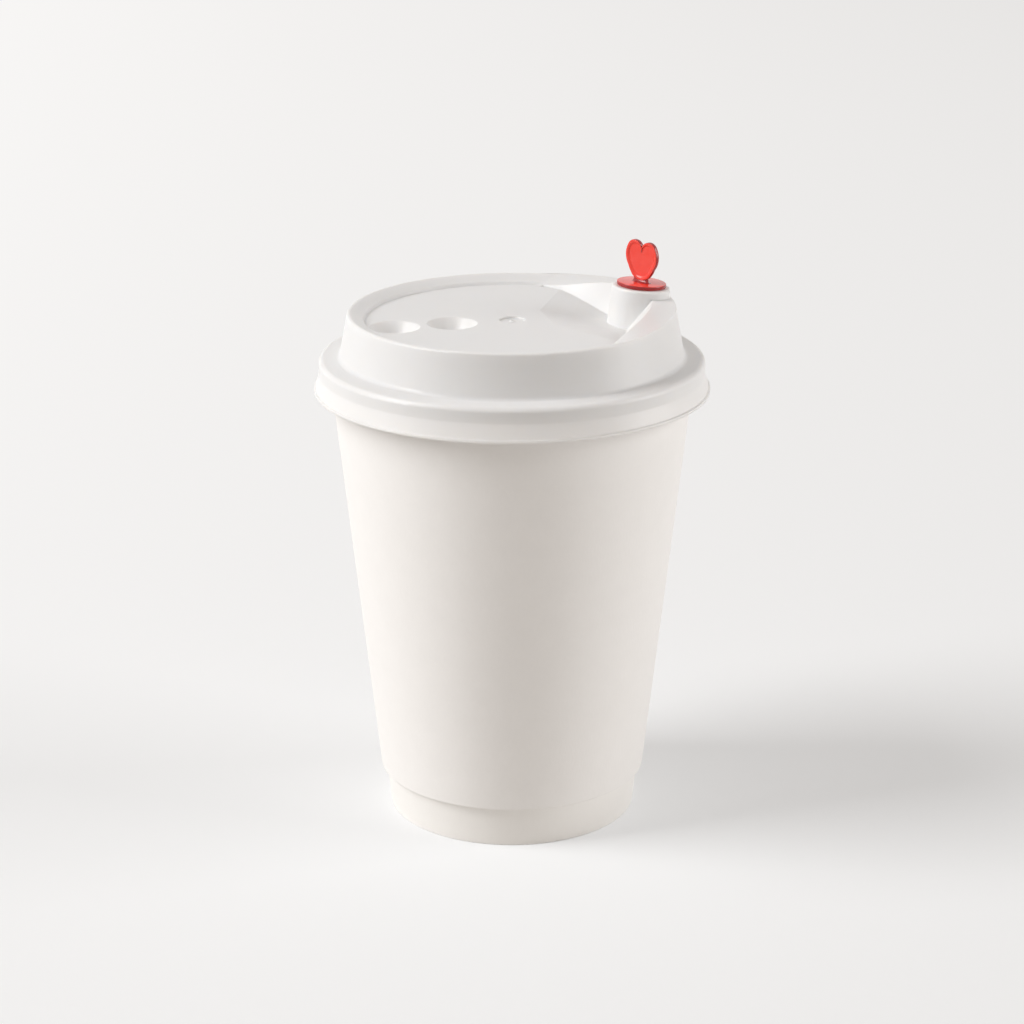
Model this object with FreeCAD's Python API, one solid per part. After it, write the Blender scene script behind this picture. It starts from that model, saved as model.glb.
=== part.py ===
import FreeCAD, Part

import math
import os

from FreeCAD import Placement, Rotation, Vector

# Paper coffee cup with a push-on lid and a heart-topped stopper. Millimetres, Z up.
# The origin is the middle of the foot on the table, and the spout points along +X.

# Inner cup, one sheet of paper
rim_height = 112.6          # top of the rolled rim above the table
foot_radius = 30.0          # outside of the side wall at the table
mouth_radius = 42.35        # outside of the side wall at the rim's height
paper = 0.35                # thickness of the cup's paper
curl_radius = 1.5           # outside radius of the rolled rim's tube
curl_end = -125.0           # where the rolled edge stops, degrees round the tube
hem_height = 6.5            # the foot's edge, folded in and up
hem_clearance = 0.05        # on each side of the disc's skirt
seam_overlap = 7.0          # width of the glued side seam
seam_layers = 1.5           # the seam's second layer, and half of the first that it is one with
seam_azimuth = 110.0        # the inner seam, degrees from the spout

# Bottom disc, one sheet of paper
floor_height = 8.5          # top of the disc above the table
floor_corner = 1.0          # bend between the disc and its skirt

# Outer sleeve, one sheet of paper
sleeve_paper = 0.32         # thickness of the sleeve's paper
air_gap = 0.9               # air between the inner cup and the sleeve
sleeve_foot = 10.24         # bottom edge above the table
sleeve_fold = 5.0           # edge folded in and up, which holds the gap open
glue_gap = 0.05             # between papers that are glued
tuck_gap = 0.2              # between the sleeve's top edge and the rolled rim
sleeve_seam_azimuth = 95.0

# Lid, one moulding
lid_wall = 0.7              # wall of the moulding
rim_fit = 0.3               # gap between the lid and the cup
plug_depth = 2.8            # seal rib, how far it reaches into the mouth
plug_wall = 0.65            # seal rib's thickness
dome_inset = 0.5            # dome's foot inside the seal rib
shelf_rise = 0.4            # shelf, shoulder to dome
dome_height = 11.1          # shelf's shoulder to the top of the rim band
dome_draft = 2.0            # how far the dome wall leans in
band_width = 3.7            # top band, outer edge to inner edge
band_fall = 1.6             # how far the band falls towards the middle
step_width = 0.45           # step from the band down to the deck
deck_drop = 2.4             # top of the band down to the deck
skirt_height = 7.8          # shoulder down to the lid's lower edge
skirt_crease = 3.6          # shoulder down to where the skirt starts to flare
skirt_flare = 1.25          # lower edge outside the shoulder
lip_height = 0.7            # bead along the lower edge
lip_step = 0.4              # how far the bead stands out
bead_height = 1.2           # snap bead inside the skirt
bead_crest = 0.3            # its flat crest
edge_round = 0.6            # rounding of the band's outer edge
shoulder_round = 1.2        # rounding over the rolled rim
shelf_round = 1.0           # fillet between the shelf and the dome
step_round = 0.25           # rounding of the step

# Dimples and gate mark in the deck
dimple_radius = 5.65
dimple_depth = 3.1
dimple_floor = 3.2          # radius of the dimple's flat floor
dimple_bowl = 2.0           # rounding at the dimple's floor
dimple_rim = 0.3            # how far its rim falls away from the deck
dimple_rim_width = 0.6
dimple_rim_round = 0.8
dimple_edge = 6.4           # middle of the far dimple, in from the deck's edge
dimple_spacing = 13.8       # from one dimple to the other
gate_radius = 3.0
gate_depth = 0.45
gate_nub_radius = 0.75
gate_nub_height = 0.35

# Spout: a leaning tower in a well, with a raised wing each side
lean = 4.6                  # the tower leans outwards, degrees
tower_inset = 7.1           # middle of the tower's top, in from the band's edge
tower_rise = 6.3            # tower's top above the deck
tower_radius = 6.95         # at its top
tower_flare = 0.45          # how much wider it is at its foot
tower_round = 0.5           # rounding of its top edge
drink_radius = 4.0          # drinking hole in the tower's top
well_depth = 2.6            # deck down to the tower's foot
fold_run = 23.1             # from the tower back to where the deck starts to fall
fold_half = 7.0             # half the width of that fold
wing_width = 5.7            # a wing's top, from the band's edge to its inner edge
wing_rise = 4.5             # inner edge of the wings' tops above the deck, at the tower
wing_fall = 1.0             # how far the wings' tops fall outwards there
wing_reach = 66.0           # how far round the wings reach, degrees
wing_sink = 0.4             # each wing's end is this far under the band's top
wing_corner_inset = 7.8     # end of each wing's foot, in from the band's edge
wing_corner_azimuth = 53.9
wing_meet_inset = 9.6       # where the two feet would meet, behind the tower

# Stopper, one moulding
disc_radius = 5.9
disc_thickness = 0.9
disc_round = 0.3
disc_gap = 0.1              # between the disc and the tower
stem_fit = 0.1              # stem in the drinking hole
stem_length = 6.0
stem_wall = 0.9
heart_width = 9.1
heart_height = 10.1         # above the disc
heart_notch = 8.3           # height of the notch
lobe_x = 2.3                # top of each lobe
heart_waist = 7.4           # height where the heart is widest
heart_side_x = 3.75         # a point on its lower side
heart_side_height = 4.3
neck_half = 1.9             # half the neck's width
neck_height = 1.3
neck_flare = 1.0            # the neck widens by this at the disc
heart_thickness = 1.3
heart_border = 0.85         # raised border round the heart's face
heart_recess = 0.25         # depth of the face inside the border
heart_root = 0.45           # how far the neck reaches into the disc
heart_azimuth = -57.7       # direction of the heart's width, degrees from the spout
heart_tilt = -4.5           # the heart's own lean in its plane

# What follows from the sizes above
lean_out = (mouth_radius - foot_radius) / rim_height
wall_angle = math.atan(lean_out)
sheet = paper / math.cos(wall_angle)
sleeve_sheet = sleeve_paper / math.cos(wall_angle)
seat_height = rim_height + rim_fit
shoulder_height = seat_height + lid_wall
band_height = shoulder_height + dome_height
deck_height = band_height - deck_drop
well_floor = deck_height - well_depth
tower_height = deck_height + tower_rise
reach = 2 * rim_height


def wall_out(height):
    """Outside radius of the inner cup's wall."""
    return foot_radius + lean_out * height


def wall_in(height):
    """Inside radius of the inner cup's wall."""
    return wall_out(height) - sheet


def flat(radius, height):
    """A point of a section that is turned about Z."""
    return Vector(radius, 0, height)


def polar(radius, degrees, height=0.0):
    """A point at a radius, an azimuth and a height."""
    angle = math.radians(degrees)
    return Vector(radius * math.cos(angle), radius * math.sin(angle), height)


def rounded(corners):
    """Edges through corners of (radius, height, rounding), open at both ends."""
    points = [flat(r, z) for r, z, _ in corners]
    edges = []
    start = points[0]
    for before, corner, after, spec in zip(points, points[1:], points[2:], corners[1:]):
        rounding = spec[2]
        if rounding == 0:
            edges.append(Part.makeLine(start, corner))
            start = corner
            continue
        to_before = (before - corner).normalize()
        to_after = (after - corner).normalize()
        half_turn = (math.pi - to_before.getAngle(to_after)) / 2
        middle = (to_before + to_after).normalize()
        centre = corner + middle * (rounding / math.cos(half_turn))
        first = corner + to_before * (rounding * math.tan(half_turn))
        last = corner + to_after * (rounding * math.tan(half_turn))
        edges.append(Part.makeLine(start, first))
        edges.append(Part.Arc(first, centre - middle * rounding, last).toShape())
        start = last
    edges.append(Part.makeLine(start, points[-1]))
    return edges


def turned(face, degrees=360.0):
    """A section turned about Z."""
    return face.revolve(Vector(0, 0, 0), Vector(0, 0, 1), degrees)


def turned_profile(edges, bottom):
    """A solid under an open profile that starts on the axis and ends at its outer foot."""
    first = edges[0].Vertexes[0].Point
    last = edges[-1].Vertexes[-1].Point
    closing = [last]
    if last.z > bottom:
        closing.append(flat(last.x, bottom))
    closing.append(flat(0, bottom))
    closing.append(first)
    lines = [Part.makeLine(a, b) for a, b in zip(closing, closing[1:])]
    return turned(Part.Face(Part.Wire(edges + lines)))


def sheet_solid(edges, thickness):
    """A sheet of paper whose inner face follows the edges, turned about Z."""
    face = Part.Wire(edges).makeOffset2D(thickness, fill=True, openResult=True)
    return turned(face)


def seam_strip(offset, layer, low, high, azimuth):
    """The second layer of paper along a side seam, offset from the inner cup's inside face."""
    start = wall_in(low) + offset
    end = wall_in(high) + offset
    width = layer * seam_layers
    corners = [flat(start, low), flat(start + width, low), flat(end + width, high), flat(end, high)]
    degrees = math.degrees(seam_overlap / wall_in((low + high) / 2))
    strip = turned(Part.Face(Part.makePolygon(corners + corners[:1])), degrees)
    strip.rotate(Vector(0, 0, 0), Vector(0, 0, 1), azimuth)
    return strip


def above(a, b, c):
    """Everything above the plane through three points."""
    normal = (b - a).cross(c - a)
    if normal.z < 0:
        normal = normal * -1
    box = Part.makeBox(reach, reach, reach)
    centred = Placement(Vector(-reach / 2, -reach / 2, 0), Rotation())
    box.Placement = Placement(a, Rotation(Vector(0, 0, 1), normal)).multiply(centred)
    return box


# Inner cup
def curl_centre():
    """Middle of the rolled rim's tube."""
    height = rim_height - curl_radius
    tangent = height + curl_radius * math.sin(wall_angle)
    return flat(wall_in(tangent) + curl_radius * math.cos(wall_angle), height)


def on_curl(degrees):
    """A point on the inside of the rolled paper, by degrees round the tube."""
    angle = math.radians(degrees)
    return curl_centre() + flat(curl_radius * math.cos(angle), curl_radius * math.sin(angle))


def inner_cup():
    """The side wall, its rolled rim, its hem and its seam."""
    pocket = sheet + 2 * hem_clearance
    hem_top = flat(wall_in(hem_height) - pocket, hem_height)
    hem_foot = flat(wall_in(paper) - pocket, paper)
    wall_foot = flat(wall_in(paper), paper)
    tangent = on_curl(180 - math.degrees(wall_angle))
    edges = [
        Part.makeLine(hem_top, hem_foot),
        Part.makeLine(hem_foot, wall_foot),
        Part.makeLine(wall_foot, tangent),
        Part.Arc(tangent, on_curl(0), on_curl(curl_end)).toShape(),
    ]
    cup = sheet_solid(edges, -paper)
    low = floor_height + paper
    high = rim_height - plug_depth - 2 * curl_radius
    strip = seam_strip(-sheet, sheet, low, high, seam_azimuth)
    return cup.fuse(strip)


def bottom_disc():
    """The raised floor and the skirt that the hem clamps."""
    skirt_low = 2 * paper
    corners = [
        (wall_in(skirt_low) - hem_clearance, skirt_low, 0),
        (wall_in(floor_height) - hem_clearance, floor_height, floor_corner),
        (0, floor_height, 0),
    ]
    return sheet_solid(rounded(corners), paper)


# Outer sleeve
def sleeve_in(height):
    """Inside radius of the sleeve."""
    return wall_out(height) + air_gap


def outer_sleeve():
    """The sleeve, with its lower edge folded in and up, and its seam."""
    top = rim_height - 2 * curl_radius - tuck_gap
    foot = sleeve_foot + sleeve_paper
    fold_top = foot + sleeve_fold
    fold_offset = glue_gap + sleeve_sheet
    corners = [
        flat(wall_out(fold_top) + fold_offset, fold_top),
        flat(wall_out(foot) + fold_offset, foot),
        flat(sleeve_in(foot), foot),
        flat(sleeve_in(top), top),
    ]
    edges = [Part.makeLine(a, b) for a, b in zip(corners, corners[1:])]
    sleeve = sheet_solid(edges, -sleeve_paper)
    middle = sheet + air_gap + sleeve_sheet / 2
    high = shoulder_height - skirt_height - rim_fit
    strip = seam_strip(middle, sleeve_sheet, foot, high, sleeve_seam_azimuth)
    return sleeve.fuse(strip)


# Lid
rim_radius = curl_centre().x + curl_radius
plug_radius = wall_in(rim_height - plug_depth) - rim_fit
dome_foot_radius = plug_radius - dome_inset
dome_top_radius = dome_foot_radius - dome_draft
step_top_radius = dome_top_radius - band_width
deck_radius = step_top_radius - step_width
shoulder_radius = rim_radius + rim_fit + lid_wall
skirt_radius = shoulder_radius + skirt_flare
skirt_foot = shoulder_height - skirt_height
tower_x = dome_top_radius - tower_inset
fold_x = tower_x - fold_run
wing_inner_radius = dome_top_radius - wing_width
wing_meet_x = dome_top_radius - wing_meet_inset
dimple_far = deck_radius - dimple_edge
dimple_near = dimple_far - dimple_spacing
band_slope = band_fall / band_width


def lid_body(inset):
    """The lid's turned form, or the same form moved in by the inset."""
    lip_top = skirt_foot + lip_height
    corners = [
        (0, deck_height, 0),
        (deck_radius, deck_height, step_round),
        (step_top_radius, band_height - band_fall, step_round),
        (dome_top_radius, band_height, edge_round),
        (dome_foot_radius, shoulder_height + shelf_rise, shelf_round),
        (shoulder_radius, shoulder_height, shoulder_round),
        (shoulder_radius, shoulder_height - skirt_crease, 0),
        (skirt_radius - lip_step, lip_top, 0),
        (skirt_radius, lip_top, 0),
        (skirt_radius, skirt_foot, 0),
    ]
    edges = rounded(corners)
    if inset:
        edges = Part.Wire(edges).makeOffset2D(-inset, openResult=True).Edges
        return turned_profile(edges, skirt_foot - inset)
    return turned_profile(edges, skirt_foot)


def dimple(inset, x):
    """A conical bowl in the deck."""
    bottom = deck_height - dimple_depth - inset
    top = deck_height + dimple_rim - inset
    corners = [
        (0, bottom, 0),
        (dimple_floor + inset, bottom, dimple_bowl),
        (dimple_radius + inset, deck_height - dimple_rim - inset, dimple_rim_round),
        (dimple_radius + dimple_rim_width + inset, top, 0),
        (0, top, 0),
    ]
    edges = rounded(corners)
    closing = Part.makeLine(edges[-1].Vertexes[-1].Point, edges[0].Vertexes[0].Point)
    bowl = turned(Part.Face(Part.Wire(edges + [closing])))
    bowl.translate(Vector(x, 0, 0))
    return bowl


def gate_mark(inset):
    """A shallow recess where the moulding was filled, with its nub."""
    low = deck_height - gate_depth
    recess = Part.makeCylinder(gate_radius + inset, gate_depth + inset, flat(0, low - inset))
    if inset:
        return recess
    nub = Part.makeCone(gate_nub_radius, gate_nub_radius / 2, gate_nub_height, flat(0, low))
    return recess.cut(nub)


def wing_corner(side):
    """The end of a wing's foot, where the deck starts to fall."""
    return polar(dome_top_radius - wing_corner_inset, side * wing_corner_azimuth)


def wing_foot_end():
    """Where a wing's foot line, carried on past the well, meets the step of the band."""
    corner = wing_corner(1)
    run_x = corner.x - wing_meet_x
    a = run_x ** 2 + corner.y ** 2
    b = wing_meet_x * run_x
    c = wing_meet_x ** 2 - (deck_radius - step_round) ** 2
    share = (-b + math.sqrt(b ** 2 - a * c)) / a
    return Vector(wing_meet_x + share * run_x, share * corner.y, 0)


def room(inset):
    """The room over the deck and the well: walls that rule from straight feet up to a curved edge."""
    end = wing_foot_end()
    low = Vector(0, 0, well_floor - inset)
    high = Vector(0, 0, deck_height + wing_rise)
    near = Vector(end.x, -end.y, 0)
    front = Vector(wing_meet_x, 0, 0)
    behind = [Vector(0, end.y, 0), Vector(0, -end.y, 0)]
    lower = Part.makePolygon([low + v for v in [near, front, end] + behind + [near]])
    azimuth = math.degrees(math.atan2(end.y, end.x))
    left = polar(wing_inner_radius, -azimuth) + high
    right = polar(wing_inner_radius, azimuth) + high
    front = polar(wing_inner_radius, 0) + high
    right_back, left_back = [v + high for v in behind]
    upper = Part.Wire([
        Part.Arc(left, polar(wing_inner_radius, -azimuth / 2) + high, front).toShape(),
        Part.Arc(front, polar(wing_inner_radius, azimuth / 2) + high, right).toShape(),
        Part.makeLine(right, right_back),
        Part.makeLine(right_back, left_back),
        Part.makeLine(left_back, left),
    ])
    if inset:
        lower = lower.makeOffset2D(inset, join=2)
        upper = upper.makeOffset2D(inset, join=2)
    walls = Part.makeLoft([lower, upper], True, True)
    return walls.fuse(Part.Face(upper).extrude(Vector(0, 0, tower_rise)))


def wing_section(azimuth, inset):
    """An upright section at an azimuth, whose upper side is the wing's top there."""
    share = 1 - (azimuth / wing_reach) ** 2
    inner_low = band_height - band_slope * wing_width - wing_sink
    outer_low = band_height - wing_sink
    crown = deck_height + wing_rise
    inner = inner_low + share * (crown - inner_low) - inset
    outer = outer_low + share * (crown - wing_fall - outer_low) - inset
    rise = outer - inner
    corners = [
        polar(wing_inner_radius - wing_width, azimuth, inner - rise),
        polar(dome_top_radius + wing_width, azimuth, outer + rise),
        polar(dome_top_radius + wing_width, azimuth, well_floor - wing_width),
        polar(wing_inner_radius - wing_width, azimuth, well_floor - wing_width),
    ]
    return Part.makePolygon(corners + corners[:1])


def wings(inset):
    """The raised band each side of the tower, under a top that sinks into the rim at its ends."""
    azimuths = [wing_reach * third / 3 for third in range(-3, 4)]
    block = Part.makeLoft([wing_section(azimuth, inset) for azimuth in azimuths], True, False)
    low = well_floor - lid_wall
    high = tower_height
    draft = dome_draft / (dome_height - shelf_rise)
    foot_edge = dome_top_radius + (band_height - low) * draft - inset
    top_edge = dome_top_radius + (band_height - high) * draft - inset
    block = block.common(Part.makeCone(foot_edge, top_edge, high - low, flat(0, low)))
    return block.cut(room(inset))


def slopes(inset):
    """Three points on each of the three slopes that fall from the deck to the tower's foot."""
    tower_foot = tower_radius + tower_flare
    drop = Vector(0, 0, inset)
    fold = [Vector(fold_x, side * fold_half, deck_height) - drop for side in (-1, 1)]
    front = Vector(tower_x - tower_foot, 0, well_floor) - drop
    facets = [(fold[0], fold[1], front)]
    end = wing_corner(1)
    beside_x = wing_meet_x - (wing_meet_x - end.x) * tower_foot / end.y
    for corner, side in zip(fold, (-1, 1)):
        wing_foot = wing_corner(side) + flat(0, deck_height) - drop
        beside = Vector(beside_x, side * tower_foot, well_floor) - drop
        facets.append((corner, wing_foot, beside))
    return facets


def well(inset):
    """The sloping well round the tower."""
    space = room(inset)
    for facet in slopes(inset):
        space = space.common(above(*facet))
    return space


def tower(inset):
    """The leaning tower, or its hollow."""
    height = tower_rise + well_depth + lid_wall
    axis = tower_axis()
    top = Vector(tower_x, 0, tower_height) - axis * inset
    foot = top - axis * height
    body = Part.makeCone(tower_radius + tower_flare - inset, tower_radius - inset, height, foot, axis)
    if inset:
        return body
    rim = [e for e in body.Edges if e.BoundBox.ZMin > tower_height - tower_rise / 2]
    return body.makeFillet(tower_round, rim)


def tower_axis():
    """Direction in which the tower leans."""
    angle = math.radians(lean)
    return Vector(math.sin(angle), 0, math.cos(angle))


def lid_form(inset):
    """The whole lid as a solid form, or the same form moved in by the inset."""
    form = lid_body(inset).fuse(wings(inset))
    form = form.cut(well(inset))
    form = form.fuse(tower(inset))
    for x in (-dimple_near, -dimple_far):
        form = form.cut(dimple(inset, x))
    return form.cut(gate_mark(inset))


def seal_rib():
    """The ring that reaches into the cup's mouth."""
    low = rim_height - plug_depth
    outside = Part.makeCylinder(plug_radius, shoulder_height - low, flat(0, low))
    return outside.cut(Part.makeCylinder(plug_radius - plug_wall, shoulder_height - low, flat(0, low)))


def snap_bead():
    """The ridge inside the skirt, at the size it springs open to as it passes the rolled rim."""
    crest = rim_radius + rim_fit
    middle = rim_height - 2 * curl_radius - bead_height / 2
    corners = [
        flat(crest, middle - bead_crest / 2),
        flat(crest + lid_wall, middle - bead_height),
        flat(crest + lid_wall, middle + bead_height),
        flat(crest, middle + bead_crest / 2),
    ]
    return turned(Part.Face(Part.makePolygon(corners + corners[:1])))


def lid():
    """The moulding: its form without its hollow, and with the drinking hole."""
    hollow = lid_form(lid_wall).cut(seal_rib()).cut(snap_bead())
    shell = lid_form(0).cut(hollow)
    axis = tower_axis()
    hole_foot = Vector(tower_x, 0, tower_height) - axis * (2 * lid_wall)
    return shell.cut(Part.makeCylinder(drink_radius, 3 * lid_wall, hole_foot, axis))


# Stopper
def heart_half(side):
    """One side of the heart, from the notch down into the disc."""
    waist = Vector(side * heart_width / 2, 0, heart_waist)
    neck = Vector(side * neck_half, 0, neck_height)
    foot = Vector(side * (neck_half + neck_flare), 0, 0)
    lobe = Part.Arc(Vector(0, 0, heart_notch), Vector(side * lobe_x, 0, heart_height), waist)
    cheek = Part.Arc(waist, Vector(side * heart_side_x, 0, heart_side_height), neck)
    hollow = (neck + foot + Vector(side * neck_half, 0, 0)) / 3
    flare = Part.Arc(neck, hollow, foot)
    root = Part.makeLine(foot, foot - Vector(0, 0, heart_root))
    return [lobe.toShape(), cheek.toShape(), flare.toShape(), root]


def heart():
    """The heart on its flared neck, with a raised border round each face."""
    left = heart_half(-1)
    right = heart_half(1)
    foot_half = neck_half + neck_flare
    base = Part.makeLine(Vector(-foot_half, 0, -heart_root), Vector(foot_half, 0, -heart_root))
    outline = Part.Wire(Part.__sortEdges__(left + right + [base]))
    plate = Part.Face(outline).extrude(Vector(0, heart_thickness, 0))
    plate.translate(Vector(0, -heart_thickness / 2, 0))
    tip = Part.makeLine(Vector(-neck_half, 0, neck_height), Vector(neck_half, 0, neck_height))
    field = Part.Wire(Part.__sortEdges__(left[:2] + right[:2] + [tip])).makeOffset2D(-heart_border)
    for side in (-1, 1):
        recess = Part.Face(field).extrude(Vector(0, heart_recess * 2, 0))
        recess.translate(Vector(0, side * heart_thickness / 2 - heart_recess, 0))
        plate = plate.cut(recess)
    plate.rotate(Vector(0, 0, 0), Vector(0, 1, 0), heart_tilt)
    return plate


def stopper():
    """Heart, disc and hollow stem, placed in the tower's hole."""
    disc = Part.makeCylinder(disc_radius, disc_thickness)
    rim_edges = [e for e in disc.Edges if isinstance(e.Curve, Part.Circle)]
    disc = disc.makeFillet(disc_round, rim_edges)
    plate = heart()
    plate.rotate(Vector(0, 0, 0), Vector(0, 0, 1), heart_azimuth)
    plate.translate(Vector(0, 0, disc_thickness))
    stem_radius = drink_radius - stem_fit
    stem_foot = Vector(0, 0, -stem_length)
    stem = Part.makeCylinder(stem_radius, stem_length, stem_foot)
    bore = Part.makeCylinder(stem_radius - stem_wall, stem_length - disc_thickness, stem_foot)
    body = disc.fuse(plate).fuse(stem).cut(bore)
    place = Vector(tower_x, 0, tower_height) + tower_axis() * disc_gap
    body.Placement = Placement(place, Rotation(Vector(0, 1, 0), lean))
    return body


def save(name, shape):
    """One STEP file for one piece."""
    shape = shape.removeSplitter()
    solids = shape.Solids
    print(name, "solids", len(solids), "valid", shape.isValid(), "volume", round(shape.Volume, 1))
    solid = solids[0] if len(solids) == 1 else shape
    solid.exportStep("parts/" + name + ".step")


os.makedirs("parts", exist_ok=True)
save("inner_cup", inner_cup())
save("bottom_disc", bottom_disc())
save("outer_sleeve", outer_sleeve())
save("lid", lid())
save("stopper", stopper())
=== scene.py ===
# %% [markdown]
# A paper coffee cup, dressed for its portrait.
# The cup's solids come in as a fixed frame, already at their real size and place, in metres. The paper
# pieces and the lid keep those solids, because paper and a moulding of even wall are what a solid model
# shows best. They get their finish here. The red stopper is modelled again with soft edges, because its
# small heart catches the light on its roundings.

# %% Load the frame
import math

import bpy
from mathutils import Matrix, Vector


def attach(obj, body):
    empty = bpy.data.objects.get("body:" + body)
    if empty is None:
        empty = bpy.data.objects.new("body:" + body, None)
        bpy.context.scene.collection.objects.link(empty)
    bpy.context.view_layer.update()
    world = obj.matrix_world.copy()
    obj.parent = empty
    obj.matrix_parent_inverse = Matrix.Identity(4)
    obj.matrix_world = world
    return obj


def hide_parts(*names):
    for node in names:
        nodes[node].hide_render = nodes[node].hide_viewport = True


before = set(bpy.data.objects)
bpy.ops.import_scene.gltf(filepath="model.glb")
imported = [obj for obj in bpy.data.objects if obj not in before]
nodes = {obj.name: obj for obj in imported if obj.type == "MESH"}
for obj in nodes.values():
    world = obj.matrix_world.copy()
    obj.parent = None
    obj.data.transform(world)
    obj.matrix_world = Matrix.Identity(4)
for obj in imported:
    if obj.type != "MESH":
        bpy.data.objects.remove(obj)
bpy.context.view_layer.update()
MM = 0.001
print("nodes:", ", ".join(sorted(nodes)))

# %% [markdown]
# The camera stands where the photographer stood. Its place and lens were worked out from the ellipses of
# the rim, the sleeve's edge and the foot. The spout points along +X, and the photographer stood a little
# to the left of square on to it, looking down at the lid. Distances here are in metres.

# %% Camera
IMAGE_SIDE = 1024
FOCAL_PIXELS = 2750
SENSOR_MM = 36
CAMERA_DISTANCE = 0.6314
CAMERA_HEIGHT = 0.2836
CAMERA_PITCH = 0.320
SPOUT_TURN = math.radians(14.3)


def around(degrees, distance, height):
    """A place round the cup, with degrees counted from the camera's side, positive to its right."""
    angle = math.radians(degrees) - math.pi / 2 - SPOUT_TURN
    return (distance * math.cos(angle), distance * math.sin(angle), height)


camera_data = bpy.data.cameras.new("camera")
camera_data.sensor_width = SENSOR_MM
camera_data.lens = FOCAL_PIXELS * SENSOR_MM / IMAGE_SIDE
camera_data.clip_start = 0.01
camera = bpy.data.objects.new("camera", camera_data)
bpy.context.scene.collection.objects.link(camera)
camera.location = around(0, CAMERA_DISTANCE, CAMERA_HEIGHT)
camera.rotation_euler = (math.pi / 2 - CAMERA_PITCH, 0, -SPOUT_TURN)
bpy.context.scene.camera = camera
print("lens", round(camera_data.lens, 1), "mm")


# %% [markdown]
# Colours are written as sRGB hex, as a picture editor shows them, and one function turns them to the
# linear values that light is counted in. A second small function adds a node with its settings and links.
# An input is named by its label, or by a letter and its number where labels repeat.

# %% Colour and node helpers
def colour(text):
    """A hex colour as linear red, green, blue and alpha."""
    channels = [int(text[i:i + 2], 16) / 255 for i in (1, 3, 5)]
    linear = [c / 12.92 if c <= 0.04045 else ((c + 0.055) / 1.055) ** 2.4 for c in channels]
    return (*linear, 1)


def add(tree, kind, settings=(), **inputs):
    """A node of a kind, with its settings, and its inputs set or linked."""
    node = tree.nodes.new(kind)
    for name, value in dict(settings).items():
        setattr(node, name, value)
    for name, value in inputs.items():
        key = int(name[1:]) if name[1:].isdigit() else name.replace("_", " ")
        if isinstance(value, bpy.types.NodeSocket):
            tree.links.new(value, node.inputs[key])
        else:
            node.inputs[key].default_value = value
    return node


def new_material(name):
    """An empty material and its node tree."""
    material = bpy.data.materials.new(name)
    material.use_nodes = True
    material.node_tree.nodes.clear()
    return material, material.node_tree


def dress(piece, material):
    """One material on the whole piece."""
    piece.data.materials.clear()
    piece.data.materials.append(material)


print("paper white in linear light:", [round(c, 2) for c in colour("#F6F5F4")[:3]])

# %% [markdown]
# Cup board is bleached pulp, pressed smooth. Close to, it has a faint cloudiness where the fibres lie
# thicker, and a fine tooth that keeps its shine soft. The fibres lie mostly along the sheet's run, so the
# fine pattern is stretched along the cup's height. A real fibre is about 0.03 mm wide, far too fine for
# the picture, so the tooth is drawn at half a millimetre, just coarse enough to show. Two noises do it.
# A photographed texture could too, but it would need unwrapping, and it would show its seams and repeats.
# The sleeve is uncoated. The inner cup and its floor have a thin film that holds the drink, so their
# shine is a little tighter and their tooth is half as deep.

# %% Paper
CLOUD_MM = 5.0
FIBRE_MM = 0.55
FIBRE_STRETCH = 2.5
FIBRE_SHARE = 0.45
TOOTH_MM = 0.05
BOARD_IOR = 1.47
BOARD_SPECULAR = 0.35


def cup_board(name, base, cloud, roughness, tooth):
    """Pressed cup board with clouds and a fibre tooth."""
    material, tree = new_material(name)
    place = add(tree, "ShaderNodeTexCoord").outputs["Object"]
    stretched = add(tree, "ShaderNodeMapping", Vector=place, Scale=(1, 1, 1 / FIBRE_STRETCH)).outputs[0]
    clouds = add(tree, "ShaderNodeTexNoise", Vector=place, Scale=1 / (CLOUD_MM * MM), Detail=3)
    fibres = add(tree, "ShaderNodeTexNoise", Vector=stretched, Scale=1 / (FIBRE_MM * MM), Detail=3)
    patch = add(tree, "ShaderNodeMix", {"data_type": "FLOAT"}, i0=FIBRE_SHARE, i2=clouds.outputs[0],
                i3=fibres.outputs[0])
    tint = add(tree, "ShaderNodeMix", {"data_type": "RGBA"}, Factor=patch.outputs[0],
               i6=colour(base), i7=colour(cloud))
    bump = add(tree, "ShaderNodeBump", Strength=tooth, Distance=TOOTH_MM * MM, Height=fibres.outputs[0])
    shine = add(tree, "ShaderNodeMapRange", Value=clouds.outputs[0], To_Min=roughness - 0.05,
                To_Max=roughness + 0.05)
    shader = add(tree, "ShaderNodeBsdfPrincipled", Base_Color=tint.outputs[2], Roughness=shine.outputs[0],
                 Normal=bump.outputs[0], IOR=BOARD_IOR, Specular_IOR_Level=BOARD_SPECULAR)
    add(tree, "ShaderNodeOutputMaterial", Surface=shader.outputs[0])
    return material


sleeve_board = cup_board("uncoated cup board", "#F6F5F4", "#F0EFEE", roughness=0.62, tooth=0.5)
film_board = cup_board("film-coated cup board", "#F6F5F3", "#F0EFED", roughness=0.45, tooth=0.25)
for name, board in (("inner_cup", film_board), ("bottom_disc", film_board), ("outer_sleeve", sleeve_board)):
    dress(nodes[name], board)
    print(name, "in", board.name)


# %% [markdown]
# The lid is moulded polypropylene. Its mould was roughened by sparks, so it is satin, not glossy. The
# grain is really about 0.05 mm and is drawn at 0.35 mm, so that it still breaks up the shine in the
# picture. The thin wall lets a little light through, which keeps its shaded edges from going quite dark. A
# moulding has no truly sharp edge: each is rounded by a few tenths of a millimetre. A bevel on the mesh
# would show that too, but this mesh is part of the frame, so the shader rounds the light over the edges
# and the surface stays where it is.

# %% Lid plastic
SPARK_GRAIN_MM = 0.35
GRAIN_DEPTH_MM = 0.03
EDGE_SOFTNESS_MM = 0.5
LIGHT_THROUGH_MM = 3
LID_IOR = 1.49


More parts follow.
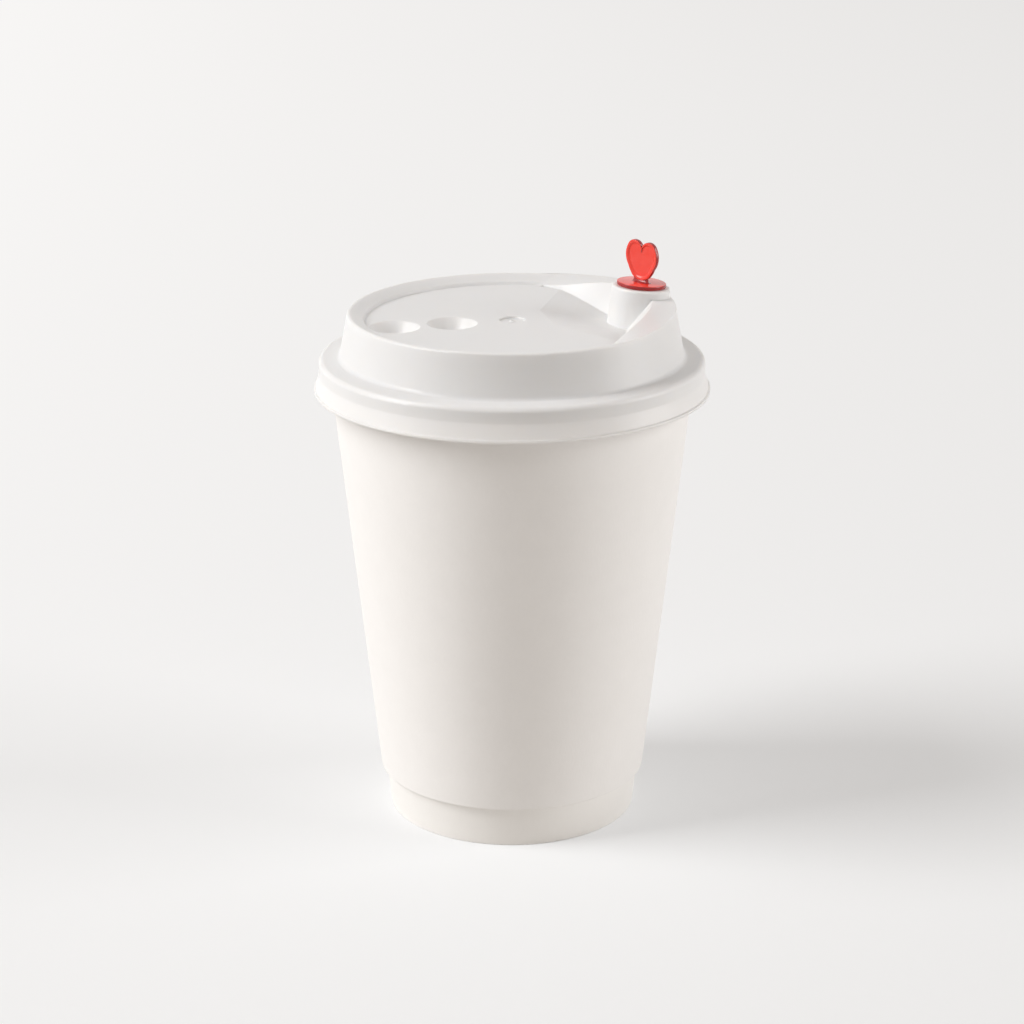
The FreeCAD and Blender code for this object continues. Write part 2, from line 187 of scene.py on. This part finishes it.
def lid_plastic():
    """Satin white polypropylene with soft moulded edges."""
    material, tree = new_material("spark-finished white polypropylene")
    place = add(tree, "ShaderNodeTexCoord").outputs["Object"]
    grain = add(tree, "ShaderNodeTexNoise", Vector=place, Scale=1 / (SPARK_GRAIN_MM * MM), Detail=2)
    soft = add(tree, "ShaderNodeBevel", {"samples": 6}, Radius=EDGE_SOFTNESS_MM * MM)
    bump = add(tree, "ShaderNodeBump", Strength=0.12, Distance=GRAIN_DEPTH_MM * MM,
               Height=grain.outputs[0], Normal=soft.outputs[0])
    shine = add(tree, "ShaderNodeMapRange", Value=grain.outputs[0], To_Min=0.36, To_Max=0.44)
    shader = add(tree, "ShaderNodeBsdfPrincipled", Base_Color=colour("#F1F0EF"),
                 Roughness=shine.outputs[0], Normal=bump.outputs[0], IOR=LID_IOR, Subsurface_Weight=0.5,
                 Subsurface_Radius=(1, 0.9, 0.8), Subsurface_Scale=LIGHT_THROUGH_MM * MM)
    add(tree, "ShaderNodeOutputMaterial", Surface=shader.outputs[0])
    return material


dress(nodes["lid"], lid_plastic())
print("lid in", nodes["lid"].data.materials[0].name)


# %% [markdown]
# The stopper is one red moulding: a hollow stem that plugs the drinking hole, a thin disc that rests on
# the tower, and a heart to pull it by. Sizes are in millimetres. They are drawn standing upright at the
# origin, with the disc's underside at height 0, and the finished stopper is leaned and placed at the end.

# %% Stopper sizes
DISC_RADIUS = 5.9
DISC_THICKNESS = 0.9
DISC_ROUND = 0.2
STEM_RADIUS = 3.9
STEM_BORE = 3.0
STEM_LENGTH = 6.0
STEM_CHAMFER = 0.3
HEART_THICKNESS = 1.0
HEART_TILT = math.radians(2.5)
HEART_PLACE = Vector((-0.3, -0.5, DISC_THICKNESS))
HEART_AZIMUTH = math.radians(-57.7)
LEAN = math.radians(4.6)
TOWER_TOP = Vector((31.791, 0, 128.6))
DISC_GAP = 0.1
print("stopper:", 2 * DISC_RADIUS, "mm across its disc")


# %% [markdown]
# An operator acts on whatever is selected, so everything is deselected before each new mesh. One helper
# does that, and one makes a new mesh the active one.

# %% Modelling helpers
def deselect():
    """Nothing selected, and nothing left in edit mode."""
    if bpy.context.object and bpy.context.object.mode == "EDIT":
        bpy.ops.object.mode_set(mode="OBJECT")
    bpy.ops.object.select_all(action="DESELECT")


def mesh_piece(name, points, edges, faces):
    """A new object with a mesh of its own, active and selected."""
    deselect()
    mesh = bpy.data.meshes.new(name)
    mesh.from_pydata([Vector(p) * MM for p in points], edges, faces)
    piece = bpy.data.objects.new(name, mesh)
    bpy.context.scene.collection.objects.link(piece)
    piece.select_set(True)
    bpy.context.view_layer.objects.active = piece
    return piece


print("selected:", len(bpy.context.selected_objects), "objects before modelling")


# %% [markdown]
# Stem and disc are round. They could be stacked cylinders with bevelled edges, but one profile spun about
# the axis gives the wall, the chamfer and the rounded rim together, with no joins. The spin ends where it
# began, so its doubled points are merged before the normals are made to point outwards.

# %% Stem and disc
def spun(name, profile, steps):
    """A closed round piece from a profile of radius and height, spun about Z."""
    edges = [(i, i + 1) for i in range(len(profile) - 1)]
    piece = mesh_piece(name, [(r, 0, z) for r, z in profile], edges, [])
    bpy.ops.object.mode_set(mode="EDIT")
    bpy.ops.mesh.select_all(action="SELECT")
    bpy.ops.mesh.spin(steps=steps, angle=2 * math.pi, center=(0, 0, 0), axis=(0, 0, 1))
    bpy.ops.mesh.select_all(action="SELECT")
    bpy.ops.mesh.remove_doubles(threshold=0.002 * MM)
    bpy.ops.mesh.normals_make_consistent(inside=False)
    bpy.ops.object.mode_set(mode="OBJECT")
    return piece


def quarter(r, z, radius, first, last, steps=5):
    """Points of a quarter round about a centre, by degrees."""
    turns = [math.radians(first + (last - first) * i / steps) for i in range(steps + 1)]
    return [(r + radius * math.cos(t), z + radius * math.sin(t)) for t in turns]


rim_centre = DISC_RADIUS - DISC_ROUND
profile = [(0, 0), (STEM_BORE, 0), (STEM_BORE, -STEM_LENGTH)]
profile += [(STEM_RADIUS - STEM_CHAMFER, -STEM_LENGTH), (STEM_RADIUS, -STEM_LENGTH + STEM_CHAMFER)]
profile += [(STEM_RADIUS, 0)]
profile += quarter(rim_centre, DISC_ROUND, DISC_ROUND, -90, 0)
profile += quarter(rim_centre, DISC_THICKNESS - DISC_ROUND, DISC_ROUND, 0, 90)
profile += [(0, DISC_THICKNESS)]
base = spun("stopper_base", profile, steps=96)
print("stem and disc:", len(base.data.polygons), "faces")


# %% [markdown]
# The heart is a thin plate with a raised border round a sunk field. It could be cut from a plate, inset
# and bevelled, but an inset and a bevel fold over themselves in the notch between the lobes. So it is a
# skin through outlines. Each key point of the outline moves in as the outline shrinks, most at the notch
# and the tip, where a cutter that follows the edge would be pushed in farthest.

# %% Heart outline
def arc(start, through, end, steps):
    """Points from start on the circle through three points, without the last."""
    ax, ay = start
    bx, by = through
    cx, cy = end
    d = 2 * (ax * (by - cy) + bx * (cy - ay) + cx * (ay - by))
    sa, sb, sc = ax ** 2 + ay ** 2, bx ** 2 + by ** 2, cx ** 2 + cy ** 2
    mx = (sa * (by - cy) + sb * (cy - ay) + sc * (ay - by)) / d
    my = (sa * (cx - bx) + sb * (ax - cx) + sc * (bx - ax)) / d
    first = math.atan2(ay - my, ax - mx)
    middle = (math.atan2(by - my, bx - mx) - first) % (2 * math.pi)
    sweep = (math.atan2(cy - my, cx - mx) - first) % (2 * math.pi)
    if middle > sweep:
        sweep -= 2 * math.pi
    radius = math.hypot(ax - mx, ay - my)
    angles = [first + sweep * i / steps for i in range(steps)]
    return [(mx + radius * math.cos(a), my + radius * math.sin(a)) for a in angles]


def heart_outline(shrink):
    """The heart's outline in its own plane, moved in by a width, from the notch round to the notch."""
    notch = (0, 8.45 - 1.3 * shrink)
    lobe = (2.35, 10.05 - shrink)
    shoulder = (4.35 - 0.85 * shrink, 8.45 - 0.5 * shrink)
    waist = (4.84 - shrink, 6.4)
    cheek = (3.95 - 0.85 * shrink, 3.7 + 0.45 * shrink)
    flank = (3.28 - 0.8 * shrink, 2.45 + 0.55 * shrink)
    neck = (2.4 - 0.95 * shrink, 1.3 + 0.5 * shrink)
    tip = (0, 0.35 + 1.05 * shrink)
    side = arc(notch, lobe, shoulder, 12) + arc(shoulder, waist, cheek, 8) + arc(cheek, flank, neck, 5)
    side += [neck, (neck[0] / 2, (neck[1] + tip[1]) / 2 - 0.12), tip]
    return side + [(-x, z) for x, z in reversed(side[1:-1])]


print("heart outline:", len(heart_outline(0)), "points")


# %% [markdown]
# The skin starts with the sunk field on one face, climbs to the border, rounds over the edge and comes
# back the same way on the other face. The neck below is a second skin, through ovals that flare where it
# meets the disc, as a mould maker rounds a corner so that the plate doesn't break off there.

# %% Heart and neck
# How far each step is in from the outline, and how far below the border's face.
HEART_STEPS = [(1.0, 0.22), (0.75, 0.04), (0.65, 0), (0.18, 0), (0.05, 0.05), (0, 0.18)]
# The neck's half width, half depth and height. It starts inside the disc and ends inside the heart.
NECK_OVALS = [(2.75, 1.9, -0.4), (2.75, 1.9, 0), (2.58, 1.4, 0.06), (2.42, 0.95, 0.18), (2.32, 0.6, 0.4),
              (2.27, 0.42, 0.8), (2.2, 0.25, 1.4), (2.0, 0.12, 1.8)]


def oval(half_width, half_depth, height, count=48):
    """A level oval."""
    turns = [2 * math.pi * i / count for i in range(count)]
    return [(half_width * math.cos(t), half_depth * math.sin(t), height) for t in turns]


def skin(name, rings):
    """A closed skin through outlines that all have the same number of points."""
    count = len(rings[0])
    points = [point for ring in rings for point in ring]
    faces = [tuple(range(count)), tuple(range(len(points) - count, len(points)))]
    for first in range(0, len(points) - count, count):
        for i in range(count):
            j = (i + 1) % count
            faces.append((first + i, first + j, first + count + j, first + count + i))
    piece = mesh_piece(name, points, [], faces)
    bpy.ops.object.mode_set(mode="EDIT")
    bpy.ops.mesh.select_all(action="SELECT")
    bpy.ops.mesh.normals_make_consistent(inside=False)
    bpy.ops.object.mode_set(mode="OBJECT")
    return piece


front = [(shrink, HEART_THICKNESS / 2 - sink) for shrink, sink in HEART_STEPS]
stack = front + [(shrink, -depth) for shrink, depth in reversed(front)]
heart = skin("stopper_heart", [[(x, depth, z) for x, z in heart_outline(shrink)] for shrink, depth in stack])
neck = skin("stopper_neck", [oval(*ring) for ring in NECK_OVALS])
print("heart:", len(heart.data.polygons), "faces, neck:", len(neck.data.polygons))


# %% [markdown]
# The stopper's red is polypropylene too, but from a polished mould, so it is glossy. Light goes through
# the thin faces and comes out bright and orange. It has farther to go along the plate's edges and through
# the neck, so they look deep red. True translucency is one way to show that. Here that light and shade are
# painted instead: the thin faces get a bright orange red as painted light coming through, and the edges and
# the neck get a deep red as painted shade. That puts each shade just where the photo shows it and renders
# quickly. A faint swirl is left by the melt's flow.

# %% Stopper plastic
SWIRL_MM = 2.5
RED_EDGE_MM = 0.15
RED_ROUGHNESS = 0.2
RED_IOR = 1.52


def stopper_plastic(name, light, dark):
    """Glossy red polypropylene with a faint swirl from the flow in the mould."""
    material, tree = new_material(name)
    place = add(tree, "ShaderNodeTexCoord").outputs["Object"]
    swirl = add(tree, "ShaderNodeTexNoise", Vector=place, Scale=1 / (SWIRL_MM * MM), Detail=2)
    tint = add(tree, "ShaderNodeMix", {"data_type": "RGBA"}, Factor=swirl.outputs[0],
               i6=colour(light), i7=colour(dark))
    soft = add(tree, "ShaderNodeBevel", {"samples": 4}, Radius=RED_EDGE_MM * MM)
    shader = add(tree, "ShaderNodeBsdfPrincipled", Base_Color=tint.outputs[2], Roughness=RED_ROUGHNESS,
                 IOR=RED_IOR, Normal=soft.outputs[0])
    add(tree, "ShaderNodeOutputMaterial", Surface=shader.outputs[0])
    return material


# Two reds of one plastic: the first is painted light shining through thin faces, the second is painted shade
# on thick edges.
red_painted_light_through = stopper_plastic("polished red polypropylene, thin", "#F04434", "#E63626")
red_painted_shade = stopper_plastic("polished red polypropylene, painted shade on deep edges", "#A81A1C", "#961214")
print("reds:", red_painted_light_through.name, "and", red_painted_shade.name)

# %% [markdown]
# A face that looks squarely out of the plate or the disc is thin, and takes the bright red, painted light
# coming through. The rest is edge, and takes the deep red, painted shade where light has farther to go;
# the neck is all painted shade. The heart and neck are turned to face the way they do on the real lid, and
# stand upright although the disc leans with the tower. All three are joined, because the real stopper is
# one moulding, and the place goes into the mesh, so the object itself stays at the origin.

# %% Join and place the stopper
EDGE_ON = 0.5
SMOOTH_ANGLE = math.radians(35)

for piece in (base, heart, neck):
    dress(piece, red_painted_light_through)
    piece.data.materials.append(red_painted_shade)
    for polygon in piece.data.polygons:
        across = abs(polygon.normal.z) if piece is base else abs(polygon.normal.y)
        # Slot 0 is the painted light of thin faces, slot 1 the painted shade of edges and the whole neck.
        polygon.material_index = 1 if piece is neck or across < EDGE_ON else 0
deselect()
turned = Matrix.Rotation(HEART_AZIMUTH, 4, "Z") @ Matrix.Rotation(HEART_TILT, 4, "Y")
upright = Matrix.Translation(HEART_PLACE * MM) @ Matrix.Rotation(-LEAN, 4, "Y")
for piece in (heart, neck):
    piece.data.transform(upright @ turned)
    piece.select_set(True)
base.select_set(True)
bpy.context.view_layer.objects.active = base
bpy.ops.object.join()
stopper = bpy.context.object
stopper.name = "stopper_moulding"
lean = Matrix.Rotation(LEAN, 4, "Y")
axis = lean @ Vector((0, 0, 1))
stopper.data.transform(Matrix.Translation((TOWER_TOP + axis * DISC_GAP) * MM) @ lean)
bpy.ops.object.shade_smooth_by_angle(angle=SMOOTH_ANGLE)
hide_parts("stopper")
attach(stopper, "stopper")
print("stopper:", len(stopper.data.polygons), "faces")


# %% [markdown]
# The set is a pale floor that fills the view. On a real set the sheet rises behind the cup and stays
# evenly bright. Here the floor is flat, so what the camera and shiny surfaces see of it gets a little
# light of its own: slightly more towards the back and the left, within reach of the picture, and more
# again past the lamps, where their light falls off. What the floor throws back at the cup is plain paint.
# Brighter lamps would whiten it too, but they would also bleach the paper.

# %% Floor
FLOOR_RADIUS = 8.0
SEEN_GLOW = 0.4
GLOW_AWAY = 0.078
GLOW_RIGHT = -0.131
GLOW_REACH = 0.5
GLOW_DEPTH = 1.5
FAR_GLOW = 0.45
FAR_FROM = 1.6
FAR_TO = 5.0


def seen_directly(tree):
    """1 where the camera sees a surface, by itself, in a shine or through glass, and otherwise 0."""
    path = add(tree, "ShaderNodeLightPath").outputs
    straight = add(tree, "ShaderNodeMath", {"operation": "MAXIMUM"}, i0=path["Is Camera Ray"],
                   i1=path["Is Glossy Ray"])
    return add(tree, "ShaderNodeMath", {"operation": "MAXIMUM"}, i0=straight.outputs[0],
               i1=path["Is Transmission Ray"]).outputs[0]


deselect()
bpy.ops.mesh.primitive_circle_add(vertices=64, radius=FLOOR_RADIUS, fill_type="NGON")
floor = bpy.context.object
floor.name = "floor"
floor_paint, tree = new_material("painted floor")
place = add(tree, "ShaderNodeTexCoord").outputs["Object"]
square_on = add(tree, "ShaderNodeMapping", Vector=place, Rotation=(0, 0, SPOUT_TURN)).outputs[0]
where = add(tree, "ShaderNodeSeparateXYZ", i0=square_on).outputs
depth = add(tree, "ShaderNodeClamp", Value=where["Y"], Min=-GLOW_REACH, Max=GLOW_DEPTH)
side = add(tree, "ShaderNodeClamp", Value=where["X"], Min=-GLOW_REACH, Max=GLOW_REACH)
glow = add(tree, "ShaderNodeMath", {"operation": "MULTIPLY_ADD"}, i0=depth.outputs[0], i1=GLOW_AWAY,
           i2=SEEN_GLOW)
glow = add(tree, "ShaderNodeMath", {"operation": "MULTIPLY_ADD"}, i0=side.outputs[0], i1=GLOW_RIGHT,
           i2=glow.outputs[0])
distance = add(tree, "ShaderNodeVectorMath", {"operation": "LENGTH"}, i0=place)
far = add(tree, "ShaderNodeMapRange", Value=distance.outputs["Value"], From_Min=FAR_FROM,
          From_Max=FAR_TO, To_Min=0, To_Max=FAR_GLOW)
glow = add(tree, "ShaderNodeMath", {"operation": "ADD"}, i0=glow.outputs[0], i1=far.outputs[0])
lit = add(tree, "ShaderNodeEmission", Color=colour("#FFFFFF"), Strength=glow.outputs[0])
seen_paint = add(tree, "ShaderNodeBsdfDiffuse", Color=colour("#BCBDBE"))
seen_floor = add(tree, "ShaderNodeAddShader", i0=seen_paint.outputs[0], i1=lit.outputs[0])
paint = add(tree, "ShaderNodeBsdfDiffuse", Color=colour("#E4E2DF"))
surface = add(tree, "ShaderNodeMixShader", i0=seen_directly(tree), i1=paint.outputs[0],
              i2=seen_floor.outputs[0])
add(tree, "ShaderNodeOutputMaterial", Surface=surface.outputs[0])
dress(floor, floor_paint)
print("floor:", 2 * FLOOR_RADIUS, "m across")


# %% [markdown]
# A big soft lamp on the left gives the bright side, and a weaker one on the right rims the other. Both
# are large, because a small lamp would give the shadow a hard edge, and 3 m away, so that their light
# hardly changes over the cup's height. The sky fills the shade with a weak warm light. What the camera
# and shiny surfaces see of it is a brighter white, as a white studio would look in a gloss.

# %% Lights
LAMP_DISTANCE = 3.0
LAMP_AIM = Vector((0, 0, 0.07))
SHADE_FILL = 0.21


def soft_light(name, place, width, height, power):
    """A rectangular soft light that faces the cup."""
    data = bpy.data.lights.new(name, "AREA")
    data.shape = "RECTANGLE"
    data.size = width
    data.size_y = height
    data.energy = power
    lamp = bpy.data.objects.new(name, data)
    bpy.context.scene.collection.objects.link(lamp)
    lamp.location = place
    lamp.rotation_euler = (LAMP_AIM - Vector(place)).to_track_quat("-Z", "Y").to_euler()
    return lamp


soft_light("left light", around(-80, LAMP_DISTANCE, 2.35), width=1.8, height=3.0, power=140)
soft_light("right light", around(85, LAMP_DISTANCE, 1.05), width=1.8, height=2.2, power=59)

# %% Sky
world = bpy.data.worlds.new("sky")
bpy.context.scene.world = world
world.use_nodes = True
tree = world.node_tree
tree.nodes.clear()
seen = seen_directly(tree)
tint = add(tree, "ShaderNodeMix", {"data_type": "RGBA"}, Factor=seen, i6=colour("#FFEBD8"),
           i7=colour("#FAFAFA"))
strength = add(tree, "ShaderNodeMix", {"data_type": "FLOAT"}, i0=seen, i2=SHADE_FILL, i3=1.0)
sky = add(tree, "ShaderNodeBackground", Color=tint.outputs[2], Strength=strength.outputs[0])
add(tree, "ShaderNodeOutputWorld", Surface=sky.outputs[0])
bpy.context.scene.view_settings.view_transform = "Standard"
print("view transform:", bpy.context.scene.view_settings.view_transform)
